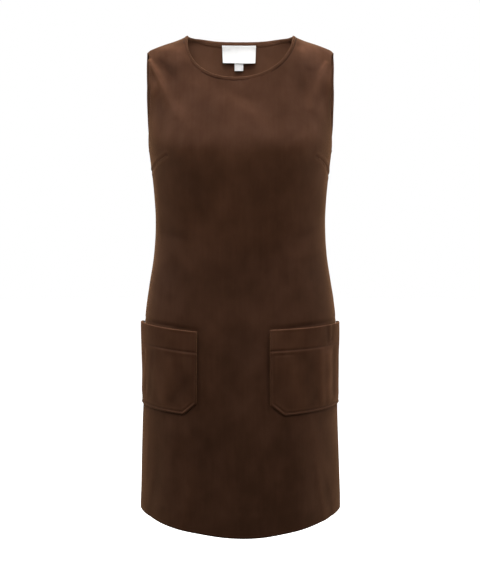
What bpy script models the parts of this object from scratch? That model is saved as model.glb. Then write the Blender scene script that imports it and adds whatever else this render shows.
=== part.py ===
"""Sleeveless pinafore dress, filled out as if it were worn.

The pieces are a front with two bust darts, a plain back, a binding round the neck, two patch
pockets caught in the side seams, and a blank label with a size tab inside the back neck.
+Z is up and the front faces -Y.
The origin lies between the shoulders, at the height where the dress hangs on them.
Sizes below are in millimetres; the meshes are in metres.
"""

import math
from bisect import bisect_right
from collections import namedtuple

import bmesh
import bpy
from mathutils import Vector

MM = 0.001

CLOTH = 2.0  # wall of the panels and pockets
GAP = 0.3  # kept between two pieces at a seam
LIP = 1.5  # last strip of a panel, square to its seam

NECK_HALF = 92.5  # middle of the neck to the shoulder seam
NECK_TOP = 8.5  # height of the neck at the shoulder seam
NECK_DEPTH = 82.0  # shoulder seam down to the lowest point of the front neck
NECK_FULLNESS = 2.15  # 2 is an ellipse, more is squarer
NECK_LEAN = -8.0  # how far to the side the lowest point of the front neck lies
BACK_NECK_REACH = 45.0  # shoulder seam back to the middle of the back neck
BACK_SLANT = 0.75  # how far a millimetre of cloth at the back neck reaches back

BINDING_WIDE = 6.0
BINDING_PROUD = 0.7  # how far it stands out from each face of the cloth
BINDING_ROUND = 0.9  # cut off each edge of the roll

BUST = {"x": 86.0, "z": -196.0, "wide": 44.0, "tall": 50.0, "height": 8.0}

SHOULDER_ROUND = 0.28  # how far from the middle line the shoulder slope starts
SHOULDER_DIP = {"x": 110.0, "wide": 22.0, "along": 30.0, "depth": 2.3}
SHOULDER_TIP = {"x": 157.0, "wide": 8.0, "along": 24.0, "drop": 3.0}  # its outer end turns down

UNDERARM = -192.0
ROW_BLEND = 30.0  # half the span of cloth over which the sections are averaged
BLEND_STEPS = (-1.0, -0.6, -0.3, 0.0, 0.3, 0.6, 1.0)

# One section of the dress: a curve from the middle line round to the side. Above the underarm
# each is carried on past the armhole, which trims it at its edge angle, 90 being the side. Its
# height is the side's, and the middle stands higher by its rise. A power of 1 makes it an
# ellipse, and more makes it pointed.
Row = namedtuple("Row", "height rise half_width side_y middle_y power edge")
FRONT_ROWS = [
    # height  rise  half_width  side_y  middle_y  power  edge
    Row(-849, -6, 185.5, 0, -146, 1.42, 90),  # hem
    Row(-756, -3, 182.3, 0, -139, 1.30, 90),
    Row(-665, -1, 178.6, 0, -132, 1.15, 90),
    Row(-572, 0, 175.2, 0, -126, 1.05, 90),
    Row(-498, 0, 173.8, 0, -121, 1.00, 90),  # hip
    Row(-425, 0, 163.7, 0, -115, 0.98, 90),
    Row(-360, 0, 153.6, 0, -111, 0.95, 90),
    Row(-316, 0, 151.9, 0, -112, 0.92, 90),  # waist
    Row(-262, 0, 154.6, 0, -122, 0.88, 90),
    Row(UNDERARM, 0, 162.6, 0, -133, 0.85, 90),
    Row(-160, 3, 165.2, 0, -124, 0.88, 75.0),
    Row(-131, 11, 168.4, -1, -108, 0.93, 68.4),
    Row(-99, 25, 176.5, -7, -86, 1.00, 62.0),
    Row(-71, 42, 188.5, -6, -63, 1.00, 56.4),
    Row(-51, 55, 197.0, 0, -41, 1.00, 53.6),
    Row(-40, 64, 204.0, 4, -20, 1.00, 52.6),
]
SHOULDER_ROW = Row(-37.5, 69.5, 210.0, 0, 0, 1.00, 52.0)
BACK_ROWS = [
    Row(-41, 60, 209.5, -16, 34, 1.00, 52.8),
    Row(-48.5, 50, 209.0, -24, 47.5, 1.00, 53.6),
    Row(-61, 46, 207.0, -24, 59, 1.00, 55.0),
    Row(-91, 31, 200.0, -9, 77, 1.00, 58.6),
    Row(-127, 13, 189.0, 0, 92, 0.95, 64.4),
    Row(-160, 3, 176.5, 0, 101, 0.90, 72.6),
    Row(UNDERARM, 0, 162.6, 0, 105, 0.87, 90),
    Row(-262, 0, 154.6, 0, 101, 0.90, 90),
    Row(-316, 0, 151.9, 0, 94, 0.93, 90),  # waist
    Row(-360, 0, 153.6, 0, 96, 0.95, 90),
    Row(-425, 0, 163.7, 0, 110, 0.98, 90),
    Row(-498, 0, 173.8, 0, 123, 1.00, 90),  # hip
    Row(-572, 0, 175.2, 0, 128, 1.00, 90),
    Row(-665, 0, 178.6, 0, 130, 1.08, 90),
    Row(-756, -1, 182.3, 0, 132, 1.18, 90),
    Row(-849, -3, 185.5, 0, 135, 1.25, 90),  # hem
]
ROWS = FRONT_ROWS + [SHOULDER_ROW] + BACK_ROWS

# The largest folds of the front. Each runs from (x0, z0) to (x1, z1); a height below 0 is a dent.
Fold = namedtuple("Fold", "x0 z0 x1 z1 width height")
FOLDS = [
    Fold(-158, -40, -106, -135, 11, 2.6),  # from the shoulder tip down to the chest
    Fold(-150, -24, -108, -42, 10, -2.4),
    Fold(128, -62, 121, -125, 12, 1.6),
    Fold(148, -26, 116, -40, 10, -1.6),
    Fold(-147, -245, -144, -330, 8, 1.8),  # beside the waist
    Fold(149, -245, 146, -300, 8, 1.6),
    Fold(-118, -690, -134, -850, 26, 3.0),  # flutes of the skirt
    Fold(-52, -640, -62, -850, 30, -2.2),
    Fold(28, -560, 34, -850, 34, 1.8),
    Fold(96, -700, 112, -850, 26, 2.6),
]

# Rows and columns of the meshes, on each half of a panel
FRONT_GRID = {"skirt": 23, "chest": 9, "yoke": 13, "across": 15}
BACK_GRID = {"skirt": 18, "chest": 11, "yoke": 12, "across": 12}
SKIRT_DRAW = 1.2  # draws the rows together towards the underarm
CHEST_DRAW = 1.6
FAN = 1.8  # draws the rows together towards the middle of the neck

# The skirt hangs a little turned, so the pockets differ. The mouth is at its top at the inner
# edge, and higher by its rise at the side seam.
Pocket = namedtuple("Pocket", "side inner_x top rise")
POCKETS = {
    "pocket_left": Pocket(-1, 74.5, -503.5, 7.0),
    "pocket_right": Pocket(1, 50.5, -499.7, 2.5),
}
POCKET_BOTTOM = -648.0
POCKET_OUTER = 0.985  # just short of the side seam that holds the outer edge
POCKET_CORNER = 20.0  # cut off the lower inner corner
POCKET_GAPE = 8.0  # how far the middle of the mouth stands open
POCKET_SIDE_GAPE = 2.0  # and its outer end
POCKET_GRID = {"across": 17, "down": 10}

LABEL = {"x": -2.0, "top": 0.5, "wide": 62.0, "tall": 29.5, "thick": 0.8}
SIZE_TAB = {"x": -3.0, "wide": 17.3, "tall": 13.2, "thick": 0.8}

BROWN = (0.085, 0.042, 0.029)
BROWN_DARK = (0.066, 0.033, 0.023)
WHITE = (0.72, 0.72, 0.70)


# ---- The outer face of the whole dress: v runs from the front hem over the shoulder to the back
# ---- hem, and w from -1 at the left side through 0 at the middle to 1 at the right side.


def row_places():
    """The v of each row: the cloth's length up to it, averaged over the middle and the side."""
    places = [0.0]
    for low, high in zip(ROWS, ROWS[1:]):
        side = math.dist((low.half_width, low.height), (high.half_width, high.height))
        middle = math.dist(
            (low.middle_y, low.height + low.rise), (high.middle_y, high.height + high.rise)
        )
        places.append(places[-1] + (side + middle) / 2)
    return places


PLACES = row_places()
FRONT_HEM = 0.0
SHOULDER = PLACES[len(FRONT_ROWS)]
BACK_HEM = PLACES[-1]


def smooth_curve(places, values):
    """A function that runs smoothly through the values at the places and never overshoots them."""
    spans = [b - a for a, b in zip(places, places[1:])]
    rates = [(b - a) / span for a, b, span in zip(values, values[1:], spans)]
    slopes = [rates[0]]
    for before, after in zip(rates, rates[1:]):
        slopes.append(0.0 if before * after <= 0 else 2 * before * after / (before + after))
    slopes.append(rates[-1])

    def value(at):
        index = min(max(bisect_right(places, at) - 1, 0), len(spans) - 1)
        span = spans[index]
        s = (at - places[index]) / span
        kept = (1 + 2 * s) * (1 - s) ** 2 * values[index] + s * s * (3 - 2 * s) * values[index + 1]
        leant = s * (1 - s) ** 2 * slopes[index] - s * s * (1 - s) * slopes[index + 1]
        return kept + leant * span

    return value


COLUMNS = [smooth_curve(PLACES, list(column)) for column in zip(*ROWS)]


def section(v):
    """The row at v, averaged over a span of cloth, which rounds the change from row to row."""
    reach = min(ROW_BLEND, abs(v - SHOULDER) / 4, v - FRONT_HEM, BACK_HEM - v)
    places = [v + reach * step for step in BLEND_STEPS]
    return Row(*[sum(column(place) for place in places) / len(places) for column in COLUMNS])


def underarm_place(is_front):
    rows = FRONT_ROWS if is_front else BACK_ROWS
    index = [row.height for row in rows].index(UNDERARM)
    return PLACES[index] if is_front else PLACES[len(FRONT_ROWS) + 1 + index]


def armhole_curve(is_front):
    """The edge angle by the root of the distance from the underarm, which rounds it there."""
    bottom = underarm_place(is_front)
    rows = [
        (math.sqrt(abs(place - bottom)), row.edge)
        for place, row in zip(PLACES, ROWS)
        if min(bottom, SHOULDER) <= place <= max(bottom, SHOULDER)
    ]
    places, angles = zip(*sorted(rows))
    return smooth_curve(places, angles)


ARMHOLES = {True: armhole_curve(True), False: armhole_curve(False)}


def bell(distance, width):
    return math.exp(-((distance / width) ** 2))


def fold_height(x, z):
    """How far the folds lift the front's cloth at (x, z)."""
    height = 0.0
    for fold in FOLDS:
        along = Vector((fold.x1 - fold.x0, fold.z1 - fold.z0))
        offset = Vector((x - fold.x0, z - fold.z0))
        length = along.length
        share = min(max(offset.dot(along) / length**2, 0.0), 1.0)
        away = (offset - along * share).length
        height += fold.height * bell(away, fold.width)
    return height


def outer_face(v, w):
    """The point of the outer face at v, w, in millimetres."""
    row = section(v)
    angle = math.pi / 2 * abs(w)
    x = row.half_width * math.sin(angle)
    y = row.side_y + (row.middle_y - row.side_y) * max(math.cos(angle), 0.0) ** row.power
    across = math.hypot(math.sin(angle), SHOULDER_ROUND) - SHOULDER_ROUND
    z = row.height + row.rise * (1 - across / (math.hypot(1, SHOULDER_ROUND) - SHOULDER_ROUND))
    dip = bell(x - SHOULDER_DIP["x"], SHOULDER_DIP["wide"]) * bell(v - SHOULDER, SHOULDER_DIP["along"])
    z -= SHOULDER_DIP["depth"] * dip
    beyond = max(x - SHOULDER_TIP["x"], 0.0) / SHOULDER_TIP["wide"]
    z -= SHOULDER_TIP["drop"] * beyond**2 * bell(v - SHOULDER, SHOULDER_TIP["along"])
    x = math.copysign(x, w)
    if v < SHOULDER:
        bust = bell(abs(x) - BUST["x"], BUST["wide"]) * bell(z - BUST["z"], BUST["tall"])
        flat = 1 - abs(w) ** 6
        seam = min((SHOULDER - v) / 20.0, 1.0)
        y -= (BUST["height"] * bust + fold_height(x, z)) * flat * seam
    return Vector((x, y, z))


def outward(v, w):
    """The unit normal of the outer face at v, w."""
    step_v, step_w = 0.5, 0.004
    low_v, high_v = max(v - step_v, FRONT_HEM), min(v + step_v, BACK_HEM)
    low_w, high_w = max(w - step_w, -1.0), min(w + step_w, 1.0)
    along = outer_face(high_v, w) - outer_face(low_v, w)
    across = outer_face(v, high_w) - outer_face(v, low_w)
    return across.cross(along).normalized()


# ---- The neck


def solve(function, low, high):
    """Where the function is 0, between low and high, where its signs differ."""
    rising = function(high) > function(low)
    for _ in range(50):
        middle = (low + high) / 2
        if (function(middle) > 0) == rising:
            high = middle
        else:
            low = middle
    return (low + high) / 2


def beyond_neck(point, margin, is_front):
    """Above 0 outside the neck hole widened by the margin, below 0 inside it."""
    half = NECK_HALF + margin
    if is_front:
        deep = (NECK_TOP - point.z) / (NECK_DEPTH + margin)
        return (abs(point.x - NECK_LEAN * deep) / half) ** NECK_FULLNESS + deep**2 - 1
    deep = point.y / (BACK_NECK_REACH + margin * BACK_SLANT)
    return (point.x / half) ** 2 + deep**2 - 1


def neck_middle(margin, is_front):
    """The v where the neck, widened by the margin, crosses the middle line."""
    far = SHOULDER - 250.0 if is_front else SHOULDER + 250.0
    return solve(lambda v: beyond_neck(outer_face(v, 0.0), margin, is_front), SHOULDER, far)


def neck_station(share, margin, is_front, side):
    """v and w on one side of the neck, from its middle (share 0) to the shoulder (share 1)."""
    middle = neck_middle(margin, is_front)
    v = middle + (SHOULDER - middle) * share**FAN
    if share == 0:
        return v, 0.0
    return v, side * solve(
        lambda w: beyond_neck(outer_face(v, side * w), margin, is_front), 0.0, 1.0
    )


def panel_edge(v, is_front):
    """The w of the panel's edge at v: the side seam, or the armhole above the underarm."""
    above = (v - underarm_place(is_front)) * (1 if is_front else -1)
    return 1.0 if above <= 0 else ARMHOLES[is_front](math.sqrt(above)) / 90.0


# ---- Meshes


def grid_mesh(name, points, is_ring=False):
    """A mesh through rows of points, all rows equally long. A ring closes in both directions."""
    mesh = bpy.data.meshes.new(name)
    shape = bmesh.new()
    bmesh.ops.create_grid(shape, x_segments=len(points[0]) - 1, y_segments=len(points) - 1, size=1)
    flat = [point for row in points for point in row]
    shape.verts.ensure_lookup_table()
    for vertex, point in zip(shape.verts, flat):
        vertex.co = point * MM
    if is_ring:
        bmesh.ops.remove_doubles(shape, verts=shape.verts, dist=1e-6)
    shape.to_mesh(mesh)
    shape.free()
    return mesh


def cloth_material(name, colour, roughness):
    material = bpy.data.materials.new(name)
    material.use_nodes = True
    surface = material.node_tree.nodes["Principled BSDF"]
    surface.inputs["Base Color"].default_value = (*colour, 1.0)
    surface.inputs["Roughness"].default_value = roughness
    surface.inputs["Metallic"].default_value = 0.0
    material.diffuse_color = (*colour, 1.0)
    return material


def add_piece(name, mesh, material, collection, thickness=0.0):
    """An object from the mesh; with a thickness, a wall that grows inwards from its faces."""
    piece = bpy.data.objects.new(name, mesh)
    piece.data.materials.append(material)
    collection.objects.link(piece)
    mesh.shade_smooth()
    if thickness:
        wall = piece.modifiers.new("Wall", "SOLIDIFY")
        wall.thickness = thickness * MM
        wall.offset = -1.0
        wall.use_even_offset = True
    return piece


def even_steps(start, end, count):
    return [start + (end - start) * step / count for step in range(count + 1)]


def half_panel(is_front, side, grid):
    """Rows of points over one half of a panel, from hem to shoulder, from its middle outwards."""
    hem = FRONT_HEM if is_front else BACK_HEM
    towards = -1.0 if is_front else 1.0
    margin = BINDING_WIDE + GAP
    neck = neck_middle(margin, is_front)
    underarm = underarm_place(is_front)
    strips = []
    for step in even_steps(1.0, 0.0, grid["skirt"]):
        v = underarm + (hem - underarm) * step**SKIRT_DRAW
        strips.append((v, 0.0, v))
    for step in even_steps(0.0, 1.0, grid["chest"])[1:-1]:
        v = underarm + (neck - underarm) * step**CHEST_DRAW
        strips.append((v, 0.0, v))
    for share in even_steps(0.0, 1.0, grid["yoke"]):
        v, w = neck_station(share, margin, is_front, side)
        strips.append((v, w, neck + (SHOULDER - neck) * share))
    strips.append(strips[-1])
    points = []
    for index, (inner_v, inner_w, outer_v) in enumerate(strips):
        row = []
        outer_w = side * panel_edge(outer_v, is_front)
        for step in even_steps(0.0, 1.0, grid["across"]):
            v = outer_v + (inner_v - outer_v) * (1 - step) ** 2
            w = inner_w + (outer_w - inner_w) * step
            row.append(outer_face(v, w))
        row.append(row[-1].copy())
        if abs(outer_w) == 1.0:
            row[-2].y = towards * (GAP / 2 + LIP)
            row[-1].y = towards * GAP / 2
        else:
            row[-2] += (row[-3] - row[-2]).normalized() * LIP
        if index >= len(strips) - 2:
            lip = LIP if index == len(strips) - 2 else 0.0
            for point in row:
                point.y = towards * (GAP / 2 + lip)
        points.append(row)
    return points


def make_panel(name, is_front, grid, material, collection):
    """Both halves of a panel, welded along the middle line."""
    left = half_panel(is_front, -1, grid)
    right = half_panel(is_front, 1, grid)
    if is_front:
        halves = [[row[::-1] for row in left], right]
    else:
        halves = [[row[::-1] for row in right], left]
    joined = bmesh.new()
    for half in halves:
        mesh = grid_mesh(name, half)
        joined.from_mesh(mesh)
        bpy.data.meshes.remove(mesh)
    bmesh.ops.remove_doubles(joined, verts=joined.verts, dist=1e-6)
    mesh = bpy.data.meshes.new(name)
    joined.to_mesh(mesh)
    joined.free()
    return add_piece(name, mesh, material, collection, CLOTH)


def make_neck_binding(material, collection):
    """A ring round the neck, its section a flat roll that stands proud of both faces."""
    low, high = -CLOTH - BINDING_PROUD, BINDING_PROUD
    profile = [  # (distance from the neck edge, height over the outer face)
        (0.0, high - BINDING_ROUND),
        (0.0, low + BINDING_ROUND),
        (BINDING_ROUND, low),
        (BINDING_WIDE - BINDING_ROUND, low),
        (BINDING_WIDE, low + BINDING_ROUND),
        (BINDING_WIDE, high - BINDING_ROUND),
        (BINDING_WIDE - BINDING_ROUND, high),
        (BINDING_ROUND, high),
    ]
    profile = profile[::-1] + profile[-1:]
    front = even_steps(0.0, 1.0, FRONT_GRID["yoke"])
    back = even_steps(0.0, 1.0, BACK_GRID["yoke"])
    stations = [(share, True, 1) for share in front]
    stations += [(share, False, 1) for share in back[::-1][1:]]
    stations += [(share, False, -1) for share in back[1:]]
    stations += [(share, True, -1) for share in front[::-1][1:]]
    points = []
    for share, is_front, side in stations:
        ring = []
        for distance, height in profile:
            v, w = neck_station(share, distance, is_front, side)
            ring.append(outer_face(v, w) + outward(v, w) * height)
        points.append(ring)
    return add_piece("neck_binding", grid_mesh("neck_binding", points, is_ring=True), material, collection)


# ---- Patch pockets


def v_at_height(z, w, is_front):
    hem = FRONT_HEM if is_front else BACK_HEM
    return solve(lambda v: outer_face(v, w).z - z, hem, SHOULDER)


def w_at_x(x, v):
    return solve(lambda w: outer_face(v, w).x - x, 0.0, 1.0)


def pocket_points(spec):
    """Rows of points over the pocket's outer face, from its bottom to its mouth."""
    middle_v = v_at_height((spec.top + POCKET_BOTTOM) / 2, 0.5, True)
    inner_w = w_at_x(spec.inner_x, middle_v)
    line = [outer_face(middle_v, w) for w in even_steps(inner_w, POCKET_OUTER, 40)]
    width = sum((b - a).length for a, b in zip(line, line[1:]))
    corner = POCKET_CORNER / width
    across = [0.0, corner / 2] + even_steps(corner, 1.0, POCKET_GRID["across"])
    points = []
    for down in even_steps(1.0, 0.0, POCKET_GRID["down"]):
        row = []
        for share in across:
            bottom = POCKET_BOTTOM + max(1 - share / corner, 0.0) * POCKET_CORNER
            top = spec.top + spec.rise * math.sin(math.pi / 2 * share)
            z = top + (bottom - top) * down
            w = spec.side * (inner_w + (POCKET_OUTER - inner_w) * share)
            v = v_at_height(z, w, True)
            gape = POCKET_GAPE * math.sin(math.pi * share) ** 0.8 + POCKET_SIDE_GAPE * share**3
            gape *= (1 - down) ** 1.2
            row.append(outer_face(v, w) + outward(v, w) * (GAP + CLOTH + gape))
        points.append(row)
    return points


def make_pocket(name, spec, material, collection):
    points = pocket_points(spec)
    if spec.side < 0:
        points = [row[::-1] for row in points]
    return add_piece(name, grid_mesh(name, points), material, collection, CLOTH)


# ---- Label and size tab, on the inner face of the back


def make_label(name, sizes, top, material, collection):
    """A thin blank patch on the inner face of the back. It returns the height of its lower edge."""
    bottom = top - sizes["tall"]
    points = []
    for z in even_steps(bottom, top, 8):
        row = []
        for x in even_steps(sizes["x"] + sizes["wide"] / 2, sizes["x"] - sizes["wide"] / 2, 6):
            side = math.copysign(1, x)
            v = v_at_height(z, 0.1, False)
            w = side * w_at_x(abs(x), v)
            row.append(outer_face(v, w) - outward(v, w) * (CLOTH + BINDING_PROUD + GAP))
        points.append(row)
    add_piece(name, grid_mesh(name, points), material, collection, sizes["thick"])
    return bottom


def main():
    for old in list(bpy.data.objects):
        bpy.data.objects.remove(old, do_unlink=True)
    dress = bpy.data.collections.new("pinafore_dress")
    bpy.context.scene.collection.children.link(dress)
    make_panel("front", True, FRONT_GRID, cloth_material("front_cord", BROWN, 0.9), dress)
    make_panel("back", False, BACK_GRID, cloth_material("back_cord", BROWN, 0.9), dress)
    make_neck_binding(cloth_material("binding_cord", BROWN_DARK, 0.88), dress)
    for name, spec in POCKETS.items():
        make_pocket(name, spec, cloth_material(f"{name}_cord", BROWN, 0.9), dress)
    label_look = cloth_material("label_satin", WHITE, 0.5)
    lower_edge = make_label("label_main", LABEL, LABEL["top"], label_look, dress)
    tab_look = cloth_material("size_tab_satin", WHITE, 0.5)
    make_label("label_size", SIZE_TAB, lower_edge - GAP, tab_look, dress)


main()
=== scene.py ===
"""The look of a sleeveless needlecord pinafore dress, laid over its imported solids.

Sizes below are in millimetres and the meshes in metres. +Z is up and the front faces -Y.
The cloth follows the same sections, folds, neck and armholes as the solids, in a finer mesh.
"""

import math
from collections import namedtuple

import bpy
import numpy as np
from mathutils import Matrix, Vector


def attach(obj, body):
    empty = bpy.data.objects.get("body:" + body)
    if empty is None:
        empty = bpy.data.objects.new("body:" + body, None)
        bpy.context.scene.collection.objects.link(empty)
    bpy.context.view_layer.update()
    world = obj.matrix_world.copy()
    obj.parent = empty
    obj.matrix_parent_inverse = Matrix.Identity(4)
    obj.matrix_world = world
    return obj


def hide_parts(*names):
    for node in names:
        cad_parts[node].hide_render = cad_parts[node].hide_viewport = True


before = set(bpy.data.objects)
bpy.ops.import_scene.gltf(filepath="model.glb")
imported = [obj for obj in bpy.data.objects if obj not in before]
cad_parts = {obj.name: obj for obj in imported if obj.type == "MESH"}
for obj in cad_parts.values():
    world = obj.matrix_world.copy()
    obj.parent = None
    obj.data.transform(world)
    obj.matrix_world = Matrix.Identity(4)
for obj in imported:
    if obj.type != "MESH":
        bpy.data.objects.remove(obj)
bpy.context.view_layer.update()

MM = 0.001

CLOTH = 2.0  # the turned edges are two layers thick
GAP = 0.3

NECK_HALF = 92.5
NECK_TOP = 8.5
NECK_DEPTH = 82.0
NECK_FULLNESS = 2.15
NECK_LEAN = -8.0
BACK_NECK_REACH = 45.0
BACK_SLANT = 0.75

BINDING_WIDE = 6.0
BINDING_PROUD = 0.7
BIAS = 0.7  # turns the binding's wales, about sin 45 degrees

BUST = {"x": 86.0, "z": -196.0, "wide": 44.0, "tall": 50.0, "height": 8.0}

SHOULDER_ROUND = 0.28
SHOULDER_DIP = {"x": 110.0, "wide": 22.0, "along": 30.0, "depth": 2.3}
SHOULDER_TIP = {"x": 157.0, "wide": 8.0, "along": 24.0, "drop": 3.0}

UNDERARM = -192.0
ROW_BLEND = 30.0
BLEND_STEPS = np.array([-1.0, -0.6, -0.3, 0.0, 0.3, 0.6, 1.0])

# The sections of the solids: see the columns' names. Above the underarm each is carried on past
# the armhole, which trims it at its edge angle.
Row = namedtuple("Row", "height rise half_width side_y middle_y power edge")


def table(kind, *rows):
    return [kind(*row) for row in rows]


FRONT_ROWS = table(
    Row,
    # height  rise  half_width  side_y  middle_y  power  edge
    (-849, -6, 185.5, 0, -146, 1.42, 90),  # hem
    (-756, -3, 182.3, 0, -139, 1.30, 90),
    (-665, -1, 178.6, 0, -132, 1.15, 90),
    (-572, 0, 175.2, 0, -126, 1.05, 90),
    (-498, 0, 173.8, 0, -121, 1.00, 90),  # hip
    (-425, 0, 163.7, 0, -115, 0.98, 90),
    (-360, 0, 153.6, 0, -111, 0.95, 90),
    (-316, 0, 151.9, 0, -112, 0.92, 90),  # waist
    (-262, 0, 154.6, 0, -122, 0.88, 90),
    (UNDERARM, 0, 162.6, 0, -133, 0.85, 90),
    (-160, 3, 165.2, 0, -124, 0.88, 75.0),
    (-131, 11, 168.4, -1, -108, 0.93, 68.4),
    (-99, 25, 176.5, -7, -86, 1.00, 62.0),
    (-71, 42, 188.5, -6, -63, 1.00, 56.4),
    (-51, 55, 197.0, 0, -41, 1.00, 53.6),
    (-40, 64, 204.0, 4, -20, 1.00, 52.6),
)
SHOULDER_ROW = Row(-37.5, 69.5, 210.0, 0, 0, 1.00, 52.0)
BACK_ROWS = table(
    Row,
    (-41, 60, 209.5, -16, 34, 1.00, 52.8),
    (-48.5, 50, 209.0, -24, 47.5, 1.00, 53.6),
    (-61, 46, 207.0, -24, 59, 1.00, 55.0),
    (-91, 31, 200.0, -9, 77, 1.00, 58.6),
    (-127, 13, 189.0, 0, 92, 0.95, 64.4),
    (-160, 3, 176.5, 0, 101, 0.90, 72.6),
    (UNDERARM, 0, 162.6, 0, 105, 0.87, 90),
    (-262, 0, 154.6, 0, 101, 0.90, 90),
    (-316, 0, 151.9, 0, 94, 0.93, 90),  # waist
    (-360, 0, 153.6, 0, 96, 0.95, 90),
    (-425, 0, 163.7, 0, 110, 0.98, 90),
    (-498, 0, 173.8, 0, 123, 1.00, 90),  # hip
    (-572, 0, 175.2, 0, 128, 1.00, 90),
    (-665, 0, 178.6, 0, 130, 1.08, 90),
    (-756, -1, 182.3, 0, 132, 1.18, 90),
    (-849, -3, 185.5, 0, 135, 1.25, 90),  # hem
)
ROWS = FRONT_ROWS + [SHOULDER_ROW] + BACK_ROWS

# Folds and creases run from (x0, z0) to (x1, z1); a height below 0 is a trough. One with a flare
# starts sharp and spreads by that share of its width as it fades.
Fold = namedtuple("Fold", "x0 z0 x1 z1 width height flare", defaults=(0.0,))
FOLDS = table(  # those of the solids
    Fold,
    (-158, -40, -106, -135, 11, 2.6),
    (-150, -24, -108, -42, 10, -2.4),
    (128, -62, 121, -125, 12, 1.6),
    (148, -26, 116, -40, 10, -1.6),
    (-147, -245, -144, -330, 8, 1.8),
    (149, -245, 146, -300, 8, 1.6),
    (-118, -690, -134, -850, 26, 3.0),
    (-52, -640, -62, -850, 30, -2.2),
    (28, -560, 34, -850, 34, 1.8),
    (96, -700, 112, -850, 26, 2.6),
)
# These creases, and those of the back, also set each point's crease mark, which paints the cloth lighter on
# their ridges and darker in their troughs: painted light and shade.
FRONT_CREASES = table(
    Fold,
    # chest: sharp ridges from the shoulder tips, soft dents between the neck and the armholes
    (-158, -41, -130, -92, 3.4, 4.4, 1.3),
    (-143, -72, -110, -122, 8, 1.8),
    (-112, -112, -92, -152, 13, 1.1),
    (-140, -40, -96, -62, 7, -1.8, 0.8),
    (-114, -30, -84, -50, 8, 1.2),
    (-154, -66, -148, -106, 8, 2.6),
    (-134, -50, -106, -84, 7, -0.9),
    (-150, -30, -96, -16, 11, 2.4),
    (152, -32, 98, -18, 13, 2.4),
    (-140, -104, -130, -140, 8, -0.9),
    (-96, -66, -52, -98, 13, 1.0),
    (-34, -94, 52, -168, 14, 1.5),
    (-10, -122, 40, -182, 12, -0.8),
    (-84, -120, -30, -150, 16, -0.8),
    (100, -25, 120, -36, 6, 1.6),
    (108, -50, 132, -56, 7, -1.6),
    (148, -46, 121, -106, 5, 2.6, 1.2),
    (122, -100, 112, -132, 9, 1.4),
    (147, -78, 137, -118, 7, -0.7),
    (92, -46, 112, -96, 9, -0.8),
    (-158, -44, -160, -84, 5, 2.2),
    (156, -44, 158, -100, 8, 2.2),
    (146, -100, 134, -150, 8, 0.9),
    (-152, -112, -146, -190, 10, 1.5),
    # under the bust and at the waist
    (-96, -228, -70, -300, 18, -0.8),
    (92, -226, 74, -292, 20, 0.6),
    (118, -146, 96, -204, 17, 1.0),
    (-128, -150, -112, -196, 15, 0.6),
    (-30, -236, -22, -330, 24, 0.6),
    (-110, -400, 110, -408, 62, -0.9),
    (-124, -290, -120, -440, 26, -0.9),
    (-24, -490, 26, -560, 34, -1.0),
    (-150, -385, -140, -470, 26, -1.0),
    (146, -370, 138, -430, 24, -0.9),
    (-140, -262, -96, -292, 9, 0.6),
    (140, -258, 104, -282, 9, 0.6),
    (-138, -330, -92, -352, 10, -0.7),
    (142, -318, 88, -348, 11, -0.6),
    (-128, -372, -70, -398, 12, 0.5),
    (128, -366, 84, -384, 10, 0.5),
    # troughs along the pockets' mouths and inner edges: shallow dents, which the crease mark also paints dark
    # as a painted shadow beside the pockets
    (-70, -501, -182, -493, 2.6, -1.8),
    (-72, -506, -72, -640, 2.4, -1.5),
    (47, -498, 182, -494, 2.6, -1.8),
    (48, -502, 48, -640, 2.4, -1.5),
    # skirt, between and below the pockets
    (-58, -420, -46, -560, 17, 0.7),
    (52, -470, 60, -610, 15, -0.6),
    (-20, -520, -12, -680, 20, -0.5),
    (-96, -662, -70, -716, 10, 0.4),
    (-72, -640, -58, -750, 32, -0.9),
    (88, -664, 66, -728, 10, -0.7),
    (122, -660, 118, -712, 8, 0.6),
    (-88, -720, -98, -850, 12, 1.1),
    (-28, -700, -24, -850, 17, 0.3),
    (70, -690, 82, -850, 14, 0.5),
    (132, -676, 150, -850, 9, 1.0),
    (140, -730, 162, -850, 7, -0.8),
    (-146, -700, -160, -850, 8, -0.9),
    (-166, -655, -172, -790, 6, 0.8),
)
BACK_CREASES = table(
    Fold,
    # shoulder blades, armholes and neck
    (-112, -70, -150, -132, 9, 1.2),
    (116, -66, 148, -138, 10, -1.1),
    (-60, -72, -96, -150, 20, 1.2),
    (66, -84, 92, -158, 18, 1.1),
    (-8, -70, 4, -190, 20, -1.1),
    (-163, -40, -168, -86, 10, -3.0),
    (163, -40, 168, -86, 10, -2.8),
    (-138, -160, -108, -196, 9, 0.9),
    (140, -158, 112, -204, 9, 0.8),
    # small of the back
    (-104, -276, 18, -292, 11, 1.2),
    (-18, -306, 112, -318, 12, -1.4),
    (-120, -322, -26, -338, 10, -1.2),
    (30, -338, 122, -352, 11, 1.1),
    (-96, -358, -10, -372, 13, 0.8),
    (-146, -250, -142, -326, 7, 1.5),
    (148, -252, 144, -318, 7, 1.4),
    # skirt
    (-64, -470, -78, -640, 20, -1.2),
    (48, -500, 56, -690, 22, -1.1),
    (-112, -600, -128, -850, 20, 3.0),
    (-50, -620, -56, -850, 24, -2.4),
    (10, -580, 16, -850, 26, 2.3),
    (78, -640, 90, -850, 20, -2.2),
    (128, -610, 142, -850, 17, 2.4),
    (-152, -690, -164, -850, 9, -1.4),
    (-20, -720, -24, -850, 13, 1.1),
    (54, -740, 60, -850, 11, 1.2),
)

HEM_TURN = 815.0  # how far down the turned hem begins
EDGE_TURN = 10.0
HALF_ACROSS = 150.0  # taken for half a panel's width

# Rows and columns of the fine meshes, on each half of a panel
FINE_FRONT = {"skirt": 206, "chest": 44, "yoke": 34, "across": 80}
FINE_BACK = {"skirt": 176, "chest": 44, "yoke": 34, "across": 72}
CHEST_DRAW = 1.45
FAN = 1.8
EDGE_SHARE = 0.0045  # the last column, about a millimetre from the edge
EDGE_DROP = 0.5  # rounds a turned edge

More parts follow.
